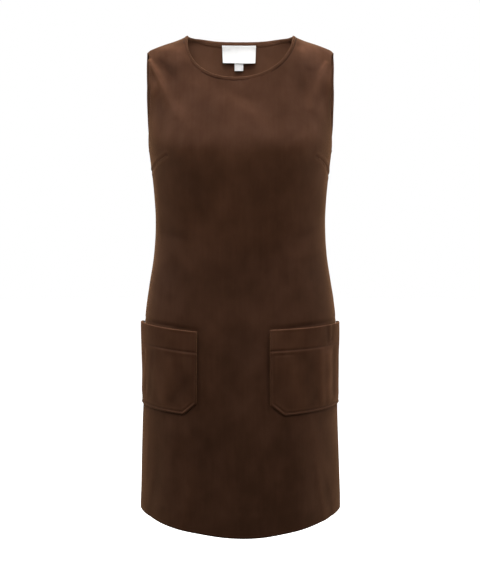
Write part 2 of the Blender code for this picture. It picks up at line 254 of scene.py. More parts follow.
Pocket = namedtuple("Pocket", "side inner_x top rise")
POCKETS = {"left": Pocket(-1, 74.5, -503.5, 7.0), "right": Pocket(1, 50.5, -499.7, 2.5)}
POCKET_BOTTOM = -648.0
POCKET_OUTER = 0.985
POCKET_CORNER = 20.0
POCKET_GAPE = 8.0
POCKET_SIDE_GAPE = 1.2
POCKET_HEM = 36.0  # mouth down to the stitching of its turned hem
POCKET_SEAM = 5.0  # edge in to the stitching
POCKET_FINE = {"across": 84, "down": 92}
POCKET_SHADE_GAIN = 1.6  # its relief counts that much more in the painted shade and highlight of its crease mark
POCKET_LIGHT = 0.5

# "stand" is how far the top edge stands off the cloth, and "curl" how much more the lower edge does
LABEL = {"x": -2.45, "top": 0.5, "wide": 62.4, "tall": 27.0, "stand": 0.0, "curl": 10.0, "seed": 0.3}
SIZE_TAB = {"x": -2.8, "top": -25.8, "wide": 16.7, "tall": 14.4, "stand": 8.0, "curl": 1.6, "seed": 1.9}
LABEL_THICK = 0.36

STITCH = {"length": 2.6, "gap": 1.0, "radius": 0.24, "rise": 0.6, "sides": 6}
STITCH_PROFILE = [  # share of a stitch's length, of its radius, and how high it stands
    (0.0, 0.45, -0.25),
    (0.16, 1.0, 0.05),
    (0.5, 1.0, 0.12),
    (0.84, 1.0, 0.05),
    (1.0, 0.45, -0.25),
]
STRIP_TAPER = 3.0  # where a strip begins, it rises to its full height over this length

# Each side dart from its tip down to the side seam
DARTS = {
    "left": [(-125.0, -204.5), (-136.0, -211.0), (-146.5, -218.5), (-156.0, -230.0)],
    "right": [(129.0, -206.5), (141.0, -213.5), (150.0, -223.0), (155.8, -236.0)],
}
# Profiles are (how far from the line or edge, how high over the cloth)
DART_LIP = [(6.5, -0.5), (4.5, 0.25), (2.6, 0.75), (1.2, 1.0), (0.4, 0.9), (0.0, 0.45), (-0.1, -0.6)]
# The next two shape the near-black seam lines of the darts and the neck: painted shade in the seams' grooves.
DART_SEAM = [(-0.1, 0.15), (-0.6, 0.34), (-1.2, 0.1)]
NECK_SEAM = [(-0.35, 0.0), (-0.2, 0.22), (0.2, 0.22), (0.35, 0.0)]
BINDING_FACE = [(0.15, 0.0), (0.9, 0.62), (2.0, 0.86), (3.2, 0.86), (4.4, 0.68), (5.3, 0.34), (5.8, -0.15)]
BINDING_INNER = [(6.6, -2.05), (6.2, -2.5), (4.8, -2.66), (2.8, -2.72), (1.0, -2.6), (0.25, -2.1)]
BINDING_PROFILE = [(0.0, -0.9), *BINDING_FACE, (6.0, -0.9), *BINDING_INNER, (0.0, -1.5)]
BINDING_INSIDE = -1.5  # below this height the binding is on the wearer's side
BINDING_BACK_DEEP = 1.2  # how much deeper it reaches there at the back

CORD_DARK = (0.0410, 0.0174, 0.0086)
CORD_BROWN = (0.0490, 0.0208, 0.0106)
CORD_LIGHT = (0.0580, 0.0252, 0.0134)
INSIDE_DARK = (0.0990, 0.0454, 0.0259)
INSIDE_BROWN = (0.1210, 0.0575, 0.0339)
THREAD = (0.030, 0.0128, 0.0072)
# painted shade: the near-black of the dart and neck seam lines, standing for the shadow in their grooves
SEAM_SHADE = (0.008, 0.0034, 0.0021)
LABEL_WHITE = (0.78, 0.78, 0.77)
WALE = 1.4
WALE_WAVER = 0.0012  # in metres
CREASE_SHADE_RANGE = (-2.6, 3.6, 0.50, 1.70)  # mm of dent and of ridge, and how dark the painted shade in a dent and how light the painted highlight on a ridge make the cloth
# painted light from above: the cloth's tone is darker where it hangs straight and lighter where it faces up
FACING_SHADE_BASE = (0.72, 0.72, 0.72)
FACING_LIGHT_STEPS = [  # how far up the cloth faces, from and to, and how much lighter that makes it
    (-0.02, 0.25, (0.25, 0.32, 0.46)),
    (0.46, 0.85, (0.62, 0.64, 0.68)),
]


# ---- The outer face: v runs from the front hem over the shoulder to the back hem, and w from -1
# ---- at the left side through 0 at the middle to 1 at the right side. Both may be arrays.


def row_places():
    places = [0.0]
    for low, high in zip(ROWS, ROWS[1:]):
        side = math.dist((low.half_width, low.height), (high.half_width, high.height))
        middle = math.dist((low.middle_y, low.height + low.rise), (high.middle_y, high.height + high.rise))
        places.append(places[-1] + (side + middle) / 2)
    return places


PLACES = row_places()
FRONT_HEM = 0.0
SHOULDER = PLACES[len(FRONT_ROWS)]
BACK_HEM = PLACES[-1]


def smooth_curve(places, values):
    """A function that runs smoothly through the values at the places and never overshoots them."""
    places, values = np.array(places, float), np.array(values, float)
    spans = np.diff(places)
    rates = np.diff(values) / spans
    before, after = rates[:-1], rates[1:]
    same = before * after > 0
    inner = np.where(same, 2 * before * after / np.where(same, before + after, 1.0), 0.0)
    slopes = np.concatenate([rates[:1], inner, rates[-1:]])

    def value(at):
        index = np.clip(np.searchsorted(places, at, side="right") - 1, 0, len(spans) - 1)
        span = spans[index]
        s = (at - places[index]) / span
        kept = (1 + 2 * s) * (1 - s) ** 2 * values[index] + s * s * (3 - 2 * s) * values[index + 1]
        leant = s * (1 - s) ** 2 * slopes[index] - s * s * (1 - s) * slopes[index + 1]
        return kept + leant * span

    return value


COLUMNS = [smooth_curve(PLACES, column) for column in zip(*ROWS)]


def section(v):
    """The row at v, averaged over a span of cloth, which rounds the change from row to row."""
    reach = np.minimum(np.minimum(ROW_BLEND, abs(v - SHOULDER) / 4), np.minimum(v - FRONT_HEM, BACK_HEM - v))
    places = v[..., None] + reach[..., None] * BLEND_STEPS
    return Row(*[column(places).mean(-1) for column in COLUMNS])


def underarm_place(is_front):
    rows = FRONT_ROWS if is_front else BACK_ROWS
    index = [row.height for row in rows].index(UNDERARM)
    return PLACES[index] if is_front else PLACES[len(FRONT_ROWS) + 1 + index]


def armhole_curve(is_front):
    bottom = underarm_place(is_front)
    rows = [
        (math.sqrt(abs(place - bottom)), row.edge)
        for place, row in zip(PLACES, ROWS)
        if min(bottom, SHOULDER) <= place <= max(bottom, SHOULDER)
    ]
    return smooth_curve(*zip(*sorted(rows)))


ARMHOLES = {True: armhole_curve(True), False: armhole_curve(False)}


def bell(distance, width):
    return np.exp(-((distance / width) ** 2))


def soft_step(distance, width):
    """1 far below 0 and 0 far above it."""
    return 1 / (1 + np.exp(distance / width))


def fold_height(x, z, folds, tapered=False):
    """How far the folds lift the cloth at (x, z). A tapered one fades at its ends, leans and wanders."""
    height = np.zeros_like(x)
    for number, fold in enumerate(folds):
        along = np.array([fold.x1 - fold.x0, fold.z1 - fold.z0], float)
        length = math.hypot(*along)
        along /= length
        run = (x - fold.x0) * along[0] + (z - fold.z0) * along[1]
        share = np.clip(run / length, 0.0, 1.0)
        aside = (x - fold.x0) * along[1] - (z - fold.z0) * along[0]
        beyond = run - share * length
        if not tapered:
            height += fold.height * bell(np.hypot(aside, beyond), fold.width)
            continue
        aside = aside + 0.35 * fold.width * np.sin(share * (3.1 + number % 3) + number)
        lean = np.where(aside > 0, 1.25, 0.75) if number % 2 else np.where(aside > 0, 0.75, 1.25)
        reach = np.hypot(aside / lean, beyond)
        if fold.flare:
            fade = np.cos(math.pi / 2 * share * 0.96) ** 0.8
        elif min(fold.z0, fold.z1) < -845:  # it runs out at the hem
            fade = np.sin(math.pi / 2 * np.clip(share / 0.55, 0, 1))
        else:
            fade = np.sin(math.pi * (0.08 + 0.84 * share))
        height += fold.height * fade * bell(reach, fold.width * (1 + fold.flare * share))
    return height


def outer_face(v, w):
    """The points of the solids' outer face at v, w."""
    v, w = np.broadcast_arrays(v, w)
    row = section(v)
    angle = math.pi / 2 * abs(w)
    sine, cosine = np.sin(angle), np.maximum(np.cos(angle), 0.0)
    x = row.half_width * sine
    y = row.side_y + (row.middle_y - row.side_y) * cosine**row.power
    across = np.hypot(sine, SHOULDER_ROUND) - SHOULDER_ROUND
    z = row.height + row.rise * (1 - across / (math.hypot(1, SHOULDER_ROUND) - SHOULDER_ROUND))
    dip = bell(x - SHOULDER_DIP["x"], SHOULDER_DIP["wide"]) * bell(v - SHOULDER, SHOULDER_DIP["along"])
    beyond = np.maximum(x - SHOULDER_TIP["x"], 0.0) / SHOULDER_TIP["wide"]
    tip = beyond**2 * bell(v - SHOULDER, SHOULDER_TIP["along"])
    z = z - SHOULDER_DIP["depth"] * dip - SHOULDER_TIP["drop"] * tip
    x = np.copysign(x, w)
    bust = bell(abs(x) - BUST["x"], BUST["wide"]) * bell(z - BUST["z"], BUST["tall"])
    flat = 1 - abs(w) ** 6
    seam = np.clip((SHOULDER - v) / 20.0, 0.0, 1.0)
    y = y - (BUST["height"] * bust + fold_height(x, z, FOLDS)) * flat * seam
    return np.stack([x, y, z], axis=-1)


def unit(vectors):
    return vectors / np.maximum(np.linalg.norm(vectors, axis=-1, keepdims=True), 1e-9)


def outward(v, w):
    """The unit normals of the outer face at v, w."""
    step_v, step_w = 0.5, 0.004
    along = outer_face(np.minimum(v + step_v, BACK_HEM), w) - outer_face(np.maximum(v - step_v, FRONT_HEM), w)
    across = outer_face(v, np.minimum(w + step_w, 1.0)) - outer_face(v, np.maximum(w - step_w, -1.0))
    return unit(np.cross(across, along))


# ---- The neck and the armholes


def solve(function, low, high):
    """Where the function is 0, between low and high, where its signs differ. It may give an array."""
    rising = function(high) > function(low)
    for _ in range(44):
        middle = (low + high) / 2
        above = (function(middle) > 0) == rising
        low, high = np.where(above, low, middle), np.where(above, middle, high)
    return (low + high) / 2


def neck_shares(point, margin, is_front):
    """How far aside and how deep a point lies, as shares of the neck with a margin round it."""
    half = NECK_HALF + margin
    if not is_front:
        return point[..., 0] / half, point[..., 1] / (BACK_NECK_REACH + margin * BACK_SLANT)
    deep = (NECK_TOP - point[..., 2]) / (NECK_DEPTH + margin)
    return (point[..., 0] - NECK_LEAN * deep) / half, deep


def beyond_neck(point, margin, is_front):
    """Above 0 outside the neck and below 0 inside it."""
    aside, deep = neck_shares(point, margin, is_front)
    return abs(aside) ** (NECK_FULLNESS if is_front else 2) + deep**2 - 1


def neck_middle(margin, is_front):
    far = SHOULDER - 250.0 if is_front else SHOULDER + 250.0
    return float(solve(lambda v: beyond_neck(outer_face(v, 0.0), margin, is_front), SHOULDER, far))


def neck_stations(shares, margin, is_front, side):
    """v and w on one side of the neck, from its middle (share 0) to the shoulder (share 1)."""
    middle = neck_middle(margin, is_front)
    v = middle + (SHOULDER - middle) * shares**FAN
    w = solve(lambda at: beyond_neck(outer_face(v, side * at), margin, is_front), 0.0, 1.0)
    return v, side * np.where(shares == 0, 0.0, w)


def panel_edge(v, is_front):
    above = (v - underarm_place(is_front)) * (1 if is_front else -1)
    return np.where(above <= 0, 1.0, ARMHOLES[is_front](np.sqrt(np.maximum(above, 0.0))) / 90.0)


# ---- Meshes


def grid_faces(rows, columns):
    """Quads over a grid of points, each going round by column first."""
    index = np.arange(rows * columns).reshape(rows, columns)
    return np.stack([index[:-1, :-1], index[:-1, 1:], index[1:, 1:], index[1:, :-1]], axis=-1).reshape(-1, 4)


def wall_faces(rows, columns, left_from=0):
    """The faces of a wall between an outer and an inner grid, open at the left below a row."""
    size = rows * columns
    outer = np.arange(size).reshape(rows, columns)
    left = outer[left_from:, 0]

    def rim(here, there):
        return np.stack([here, there, there + size, here + size], axis=-1)

    skin = grid_faces(rows, columns)
    top, bottom = rim(outer[-1, :-1], outer[-1, 1:]), rim(outer[0, 1:], outer[0, :-1])
    right = rim(outer[1:, -1], outer[:-1, -1])
    return np.concatenate([skin, skin[:, ::-1] + size, bottom, top, right, rim(left[:-1], left[1:])])


def make_mesh(name, points, faces, cloth_uv=None, marks=None):
    """A smooth mesh of millimetre points. cloth_uv is each point's place in the flat cloth. Of the
    marks, "inside" is 1 on the wearer's side, and the crease mark is how far a crease stands there; the
    cloth's look paints it as light on ridges and shade in troughs."""
    used, faces = np.unique(faces, return_inverse=True)
    mesh = bpy.data.meshes.new(name)
    mesh.from_pydata((points[used] * MM).tolist(), [], faces.reshape(-1, 4).tolist())
    if cloth_uv is not None:
        layer = mesh.uv_layers.new(name="cloth")
        loops = np.empty(len(mesh.loops), np.int32)
        mesh.loops.foreach_get("vertex_index", loops)
        layer.data.foreach_set("uv", (cloth_uv[used][loops] * MM).ravel().astype(np.float32))
    for mark, values in (marks or {}).items():
        layer = mesh.attributes.new(mark, "FLOAT", "POINT")
        layer.data.foreach_set("value", values[used].astype(np.float32))
    mesh.shade_smooth()
    mesh.validate()
    return mesh


def wall_mesh(name, outer, inner, uv, faces, marks=None):
    """The mesh of a wall whose two grids of points share their places in the flat cloth."""
    points = np.stack([outer, inner]).reshape(-1, 3)
    return make_mesh(name, points, faces, np.stack([uv, uv]).reshape(-1, 2), marks)


def add_piece(mesh, material, node=None):
    piece = bpy.data.objects.new(mesh.name, mesh)
    bpy.context.scene.collection.objects.link(piece)
    piece.data.materials.append(material)
    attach(piece, "root")
    if node:
        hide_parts(node)
    return piece


def lengths_along(points):
    """How far along its line each point lies. The last axis but one runs along the lines."""
    steps = np.linalg.norm(np.diff(points, axis=-2), axis=-1)
    return np.concatenate([np.zeros_like(steps[..., :1]), np.cumsum(steps, axis=-1)], axis=-1)


# ---- Relief of the cloth, over the folds of the solids


def wobble(x, along, seed):
    """The slight unevenness of hanging cloth."""
    slow = np.sin(x / 23.0 + seed) * np.sin(along / 41.0 + 1.7 * seed)
    middle = np.sin(x / 11.3 + along / 57.0 + 2.3 * seed) * np.sin(along / 17.9 - x / 39.0 + seed)
    quick = np.sin(x / 5.9 - along / 21.0 + seed) * np.sin(along / 9.7 + x / 31.0 + 0.6 * seed)
    return 0.30 * slow + 0.20 * middle + 0.07 * quick


def line_distance(x, z, line):
    """Distance to a line of (x, z) points, and above 0 on the side that is higher."""
    best = np.full_like(x, 1e9)
    for (x0, z0), (x1, z1) in zip(line, line[1:]):
        run_x, run_z = x1 - x0, z1 - z0
        share = np.clip(((x - x0) * run_x + (z - z0) * run_z) / (run_x**2 + run_z**2), 0, 1)
        gone_x, gone_z = x - x0 - share * run_x, z - z0 - share * run_z
        distance = np.hypot(gone_x, gone_z)
        signed = np.where(gone_z > 0, distance, -distance)
        best = np.where(distance < abs(best), signed, best)
    return best


def crease_height(x, z, is_front):
    """The creases and the darts alone."""
    height = fold_height(x, z, FRONT_CREASES if is_front else BACK_CREASES, tapered=True)
    if is_front:
        for line in DARTS.values():
            signed = line_distance(x, z, line)
            height += 1.0 * bell(signed - 3.6, 3.4) - 1.6 * bell(signed, 1.6) + 0.4 * bell(signed + 5.0, 4.0)
            tip_x, tip_z = line[0]
            height -= 0.8 * bell(np.hypot(x - tip_x * 0.97, z - tip_z - 3.0), 7.0)
    return height


def neck_distances(point, is_front):
    """Roughly how far each point is from the neck line."""
    beyond = np.hypot(*neck_shares(point, 0.0, is_front)) - 1
    return np.maximum(beyond, 0.0) * (NECK_HALF + NECK_DEPTH) / 2


def cloth_relief(v, w, step, point, is_front):
    """How far the cloth stands over the solids' outer face."""
    x, z = point[..., 0], point[..., 2]
    height = crease_height(x, z, is_front) + wobble(x, v, 0.4 if is_front else 2.9)
    # puckers that the neck's stitching draws in
    ray = np.arctan2(x, NECK_TOP + 20.0 - z) * 16.0
    drawn = np.exp(-neck_distances(point, is_front) / 9.0)
    height += 0.28 * (np.sin(ray) + 0.6 * np.sin(1.7 * ray + 1.1)) * drawn
    # the turned hem, and the turned edges at the armhole and the side seam
    height += 0.35 * soft_step(z + HEM_TURN, 2.2)
    at_arm = (abs(w) < 0.999) & (z > UNDERARM)
    height += np.where(at_arm, 0.30, 0.22) * soft_step((1 - step) * HALF_ACROSS - EDGE_TURN, 1.6)
    # none of it at the shoulder seam and the side seam, where the panels meet
    seam = np.clip(abs(SHOULDER - v) / 16.0, 0.0, 1.0)
    side = np.where(at_arm, 1.0, np.clip((1 - step) * 40.0, 0.0, 1.0))
    return height * seam * side


def cloth_face(v, w, step, is_front):
    """The points of the solids' outer face, of the cloth over it, and the normals."""
    base, normal = outer_face(v, w), outward(v, w)
    return base, base + normal * cloth_relief(v, w, step, base, is_front)[..., None], normal


def half_places(is_front, grid, side):
    """v, w and the share of the way across, for each point over one half of a panel."""
    hem = FRONT_HEM if is_front else BACK_HEM
    inwards = 1.0 if is_front else -1.0
    margin = BINDING_WIDE + GAP - 2.0
    neck = neck_middle(margin, is_front)
    underarm = underarm_place(is_front)
    skirt = hem + (underarm - hem) * np.linspace(0, 1, grid["skirt"] + 1)
    skirt = np.insert(skirt, 1, hem + inwards * 1.0)
    chest = underarm + (neck - underarm) * np.linspace(0, 1, grid["chest"] + 1)[1:-1] ** CHEST_DRAW
    shares = np.append(np.linspace(0, 1, grid["yoke"] + 1)[:-1], [0.994, 1.0])
    yoke_v, yoke_w = neck_stations(shares, margin, is_front, side)
    inner_v = np.concatenate([skirt, chest, yoke_v])
    inner_w = np.concatenate([0 * skirt, 0 * chest, yoke_w])
    outer_v = np.concatenate([skirt, chest, neck + (SHOULDER - neck) * shares])
    outer_w = side * panel_edge(outer_v, is_front)
    step = np.linspace(0, 1, grid["across"] + 1)
    step = np.sort(np.append(step, [EDGE_SHARE, 1 - EDGE_SHARE]))
    v = outer_v[:, None] + (inner_v - outer_v)[:, None] * (1 - step) ** 2
    w = inner_w[:, None] + (outer_w - inner_w)[:, None] * step
    return v, w, np.broadcast_to(step, v.shape), len(skirt) + len(chest)


def make_panel(name, is_front, grid, material, node):
    """A panel's wall: both halves, sharing the points of the middle line."""
    points, uvs, faces, crease_shadings = [], [], [], []
    for side in (1, -1):
        v, w, step, neck_row = half_places(is_front, grid, side)
        rows, columns = v.shape
        drop = np.zeros_like(v)
        drop[[0, -1]] = drop[:, -1] = drop[neck_row:, 0] = EDGE_DROP
        base, face, normal = cloth_face(v, w, step, is_front)
        outer = face - normal * drop[..., None]
        inner = face - normal * (CLOTH - drop)[..., None]
        lengths = lengths_along(face) + np.linalg.norm(face[:, :1, :2] * [1, 0], axis=-1)
        uv = np.stack([side * lengths + (0 if is_front else 700), v], axis=-1)
        count = len(points) * 2 * rows * columns
        both = wall_faces(rows, columns, neck_row) + count
        faces.append(both if (side > 0) == is_front else both[:, ::-1])
        points.append(np.stack([outer, inner]).reshape(-1, 3))
        uvs.append(np.stack([uv, uv]).reshape(-1, 2))
        # the creases' and darts' heights, which the look paints lighter on ridges and darker in troughs
        crease_shadings.append(np.tile(crease_height(base[..., 0], base[..., 2], is_front).ravel(), 2))
    points, uvs, faces = np.concatenate(points), np.concatenate(uvs), np.concatenate(faces)
    own = np.arange(len(points)).reshape(2, 2, rows, columns)
    same = own.copy()
    same[1, :, : neck_row + 1, 0] = own[0, :, : neck_row + 1, 0]
    marks = {"inside": (own // (rows * columns) % 2).reshape(-1), "ridge": np.concatenate(crease_shadings)}
    mesh = make_mesh(name, points, same.reshape(-1)[faces], uvs, marks)
    return add_piece(mesh, material, node)


# ---- Lines of stitching, and seams


def stitch_mesh(name, lines):
    """Threads laid along lines. Each line is points and normals, in millimetres."""
    length, gap, radius, rise, sides = STITCH.values()
    ring = [(math.cos(a), math.sin(a)) for a in np.linspace(0, 2 * math.pi, sides + 1)[:-1]]
    points, faces = [], []
    for line, normals in lines:
        runs = lengths_along(line)
        count = max(int(runs[-1] / (length + gap)), 1)
        pitch = runs[-1] / count
        for number in range(count):
            start = number * pitch + gap / 2
            end = start + pitch - gap
            first, last = np.array([np.interp([start, end], runs, line[:, axis]) for axis in range(3)]).T
            up = unit(np.array([np.interp((start + end) / 2, runs, normals[:, axis]) for axis in range(3)]))
            side = unit(np.cross(last - first, up))
            near = len(points)
            for share, wide, high in STITCH_PROFILE:
                centre = first + (last - first) * share + up * (radius * rise + high)
                points += [centre + (side * c + up * s) * radius * wide for c, s in ring]
            far = len(points) - sides
            for low in range(near, far, sides):
                for j in range(sides):
                    a, b = low + j, low + (j + 1) % sides
                    faces.append((a, b, b + sides, a + sides))
            # each end is two quads
            faces += [(near + 3, near + 2, near + 1, near), (near, near + 5, near + 4, near + 3)]
            faces += [(far, far + 1, far + 2, far + 3), (far + 3, far + 4, far + 5, far)]
    return make_mesh(name, np.array(points), np.array(faces))


def strip_mesh(name, line, normals, profile):
    """A narrow strip along a line. The profile's columns are how far aside, and how high."""
    aside = unit(np.cross(normals, unit(np.gradient(line, axis=0))))
    runs = lengths_along(line)
    taper = np.minimum(runs / STRIP_TAPER, 1)[:, None]
    rows = [line + aside * out + normals * (high * taper) for out, high in profile]
    points = np.stack(rows, axis=1)
    places = np.array([[out for out, _ in profile]])
    uv = np.stack(np.broadcast_arrays(places, runs[:, None]), axis=-1)
    return make_mesh(name, points.reshape(-1, 3), grid_faces(*points.shape[:2]), uv.reshape(-1, 2))


def v_at_height(z, w, hem=FRONT_HEM):
    return solve(lambda at: outer_face(at, w)[..., 2] - z, hem, SHOULDER)


def w_at_width(x, v):
    return solve(lambda at: outer_face(v, at)[..., 0] - x, 0.0, 1.0)


def panel_places(x, z, is_front):
    """v and w of points of a panel, from their x and z."""
    hem, w, tries = (FRONT_HEM, 0.5, 8) if is_front else (BACK_HEM, 0.1, 6)
    for _ in range(tries):
        v = v_at_height(z, np.copysign(w, x), hem)
        w = w_at_width(abs(x), v)
    return v, np.copysign(w, x)


def smooth_line(corners, count):
    """Evenly spaced points on a smooth line through the corners."""
    corners = np.array(corners, float)
    runs = lengths_along(corners)
    at = np.linspace(0, runs[-1], count)
    return np.stack([smooth_curve(runs, corners[:, axis])(at) for axis in range(corners.shape[1])], axis=-1)


def make_darts(cloth, thread):
    """The lip of each dart's seam, and under it a fine near-black line, the seam drawn as painted shade in
    its groove.
    """
    made = []
    for side, corners in DARTS.items():
        line = smooth_line(corners, 36)
        v, w = panel_places(line[:, 0], line[:, 1], True)
        _, points, normal = cloth_face(v, w, abs(w) / panel_edge(v, True), True)
        # the lip is cloth, and the seam strip is a near-black line of painted shade
        for part, profile, material in (("lip", DART_LIP, cloth), ("seam", DART_SEAM, thread)):
            facing = profile[::-1] if side == "left" else [(-out, high) for out, high in profile]
            mesh = strip_mesh(f"dart_{side}_{part}", points, normal, facing)
            made.append(add_piece(mesh, material))
    return made


# ---- The neck binding


def make_binding(cloth, thread):
    """A folded strip over the neck edge, slightly uneven, with a fine near-black seam line at its lower edge,
    painted shade along the seam.
    """
    shares = np.linspace(0, 1, 92)
    back = shares[::-1]
    stations = [(shares, True, 1), (back[1:], False, 1), (shares[1:], False, -1), (back[1:-1], True, -1)]
    points, uvs = [], []
    for distance, height in BINDING_PROFILE:
        ring = []
        for share, is_front, side in stations:
            is_deep = not is_front and height < BINDING_INSIDE
            v, w = neck_stations(share, distance * (BINDING_BACK_DEEP if is_deep else 1.0), is_front, side)
            ring.append((outer_face(v, w), outward(v, w)))
        face, normal = (np.concatenate(part) for part in zip(*ring))
        along = lengths_along(face)
        puff = 0.10 * np.sin(along / 3.1) + 0.08 * np.sin(along / 1.9 + 1.3) + 0.06 * np.sin(along / 7.7)
        lift = height + (puff if height > -1 else -0.6 * puff)
        points.append(face + normal * lift[:, None])
        uvs.append(np.stack([along + distance, distance - along], axis=-1) * BIAS)
    points, uvs = np.stack(points, axis=1), np.stack(uvs, axis=1)
    rows, columns = points.shape[:2]
    index = np.arange(rows * columns).reshape(rows, columns)
    below, beside = np.roll(index, -1, axis=0), np.roll(index, -1, axis=1)
    faces = np.stack([index, below, np.roll(below, -1, axis=1), beside], axis=-1).reshape(-1, 4)
    marks = {"inside": np.tile([float(height < BINDING_INSIDE) for _, height in BINDING_PROFILE], rows)}
    mesh = make_mesh("neck_band", points.reshape(-1, 3), faces[:, ::-1], uvs.reshape(-1, 2), marks)
    band = add_piece(mesh, cloth, "neck_binding")
    seams = []
    # near-black strips along the binding's lower edge, the seam drawn as painted shade
    for is_front in (True, False):
        for side in (1, -1):
            v, w = neck_stations(np.linspace(0, 1, 80), BINDING_WIDE + 0.25, is_front, side)
            name = f"neck_seam_shade_{'front' if is_front else 'back'}_{'left' if side < 0 else 'right'}"
            ditch = NECK_SEAM[::-1] if (side > 0) == is_front else NECK_SEAM
            mesh = strip_mesh(name, outer_face(v, w), outward(v, w), ditch)
            seams.append(add_piece(mesh, thread))
    return band, seams


# ---- Patch pockets


def pocket_frame(spec):
    """The w of the inner edge, and the pocket's width along the cloth."""
    middle_v = v_at_height((spec.top + POCKET_BOTTOM) / 2, 0.5)
    inner_w = float(w_at_width(spec.inner_x, middle_v))
    line = outer_face(middle_v, np.linspace(inner_w, POCKET_OUTER, 41))
    return inner_w, float(lengths_along(line)[-1])


def pocket_mouth(spec, share):
    return spec.top + spec.rise * np.sin(math.pi / 2 * share) - 2.4 * share**12


def pocket_floor(width, share):
    """The height of the lower edge, whose inner corner is cut off."""
    return POCKET_BOTTOM + np.maximum(POCKET_CORNER - share * width, 0.0)


def pocket_places(spec, share, down):
    """Points of the pocket's inner face, their normals, and how far each is from its edges."""
    inner_w, width = pocket_frame(spec)
    top, bottom = pocket_mouth(spec, share), pocket_floor(width, share)
    z = top + (bottom - top) * down
    w = spec.side * (inner_w + (POCKET_OUTER - inner_w) * share)
    v = v_at_height(z, w)
    normal = outward(v, w)
    gape = POCKET_GAPE * np.sin(math.pi * share) ** 0.8 + POCKET_SIDE_GAPE * share**3 * (1 - share**20)
    point = outer_face(v, w) + normal * (GAP + gape * (1 - down) ** 1.2)[..., None]
    across = share * width
    to_cut = (across + (z - POCKET_BOTTOM) - POCKET_CORNER) / math.sqrt(2)
    edge = np.minimum(np.minimum(across, z - POCKET_BOTTOM), to_cut)
    return point, normal, edge, top - z


POCKET_DENTS = {  # x is from the inner edge and z from the mouth
    "left": table(
        Fold,
        (44, -60, 58, -132, 12, 0.7),
        (84, -54, 96, -128, 8, -0.7),
        (104, -50, 122, -118, 6, 0.9),
        (128, -6, 134, -124, 14, 2),
        (110, -54, 114, -120, 6, -0.5),
        (12, -84, 40, -126, 9, -0.5),
    ),
    "right": table(
        Fold,
        (101, -1, 105, -30, 5, -0.6),  # the mouth's little U-shaped dip
        (105, -30, 116, -28, 5, -0.4),
        (116, -26, 119, -2, 5, -0.5),
        (110, -2, 111, -20, 4.4, 0.4),
        (88, -46, 93, -132, 9, 1.3),
        (106, -52, 112, -132, 10, 1.6),
        (124, -48, 131, -128, 6.5, -0.5),
        (30, -60, 48, -130, 14, 1),
        (64, -58, 78, -124, 10, -0.3),
        (8, -43, 34, -43, 2.4, -0.5),
        (146, -6, 156, -128, 15, 2.2),
    ),
}


def pocket_relief(name, across, edge, below):
    """The puffed edge inside its stitching, the turned hem, and a few dents."""
    height = 0.55 * bell(edge - 2.4, 2.1) - 0.60 * bell(edge - POCKET_SEAM, 0.9)
    height = (height + 0.25 * bell(edge - 8.0, 2.4)) * np.clip(below / 4.0, 0.25, 1.0)
    hem = below - POCKET_HEM
    hem_height = 0.35 * soft_step(hem, 1.2) - 1.1 * bell(hem, 1.3) + 0.50 * bell(hem - 4.0, 2.6)
    height += hem_height * (1.0 - 0.80 * np.clip((across - 40.0) / 60.0, 0.0, 1.0))
    height += 0.35 * bell(below - 1.6, 1.8) + fold_height(across, -below, POCKET_DENTS[name])
    slow, quick = np.sin(across / 17.0) * np.sin(below / 19.0), np.sin(across / 6.4 + below / 11.0)
    return height + 0.22 * slow + 0.12 * quick


def make_pocket(name, cloth, thread):
    spec = POCKETS[name]
    width = pocket_frame(spec)[1]
    corner = POCKET_CORNER / width
    share = np.linspace(corner, 1, POCKET_FINE["across"] - 10)
    ends = np.linspace(0, corner, 11)[:-1]
    share = np.sort(np.concatenate([share, ends, [1.0 / width, 1 - 1.0 / width]]))
    down = np.sort(np.append(np.linspace(0, 1, POCKET_FINE["down"]), [0.008, 0.992]))[::-1]
    down, share = np.meshgrid(down, share, indexing="ij")
    point, normal, edge, below = pocket_places(spec, share, down)
    relief = pocket_relief(name, share * width, edge, below)
    face = point + normal * (CLOTH + relief)[..., None]
    drop = np.zeros_like(share)
    drop[[0, -1]] = drop[:, [0, -1]] = EDGE_DROP
    outer = face - normal * drop[..., None]
    inner = point + normal * (drop * 0.6)[..., None]
    uv = np.stack([share * width + spec.side * 311.0, below + 41.0], axis=-1)
    faces = wall_faces(*share.shape)
    faces = faces if spec.side > 0 else faces[:, ::-1]
    # painted light and shade: the relief paints the puffed edges lighter and the stitched grooves and dents
    # darker, and the whole pocket a little lighter
    marks = {"ridge": np.tile(relief.ravel(), 2) * POCKET_SHADE_GAIN + POCKET_LIGHT}
    mesh = wall_mesh(f"pocket_{name}_cloth", outer, inner, uv, faces, marks)
    pocket = add_piece(mesh, cloth, f"pocket_{name}")

    def on_face(across, below):
        """Points on the pocket's face, from the distance across and below the mouth."""
        share = across / width
        tall = pocket_mouth(spec, share) - pocket_floor(width, share)
        at, up, from_edge, under = pocket_places(spec, share, below / tall)
        return at + up * (CLOTH + pocket_relief(name, across, from_edge, under) - 0.05)[:, None], up

    def seam_line(inset):
        """Down the inner edge, round the cut corner and along the bottom, at a distance inside."""
        turn = POCKET_CORNER + inset * (math.sqrt(2) - 1)
        along = np.linspace(turn, width - 2, 24)
        floor = pocket_mouth(spec, along / width) - POCKET_BOTTOM - inset
        corners = [(inset, 2.0), (inset, spec.top - POCKET_BOTTOM - turn), *zip(along, floor)]
        path = []
        for (x0, z0), (x1, z1) in zip(corners, corners[1:]):
            count = max(int(math.dist((x0, z0), (x1, z1)) / 2.0), 2)
            path += [(x0 + (x1 - x0) * k / count, z0 + (z1 - z0) * k / count) for k in range(count)]
        return on_face(*np.array(path + [corners[-1]]).T)

    hem = np.linspace(POCKET_SEAM, width - 2.0, 70)
    lines = [seam_line(POCKET_SEAM), seam_line(1.6), on_face(hem, POCKET_HEM + 0 * hem)]
    mesh = stitch_mesh(f"pocket_{name}_stitching", lines)
    return pocket, [add_piece(mesh, thread)], width * MM


# ---- Label and size tab


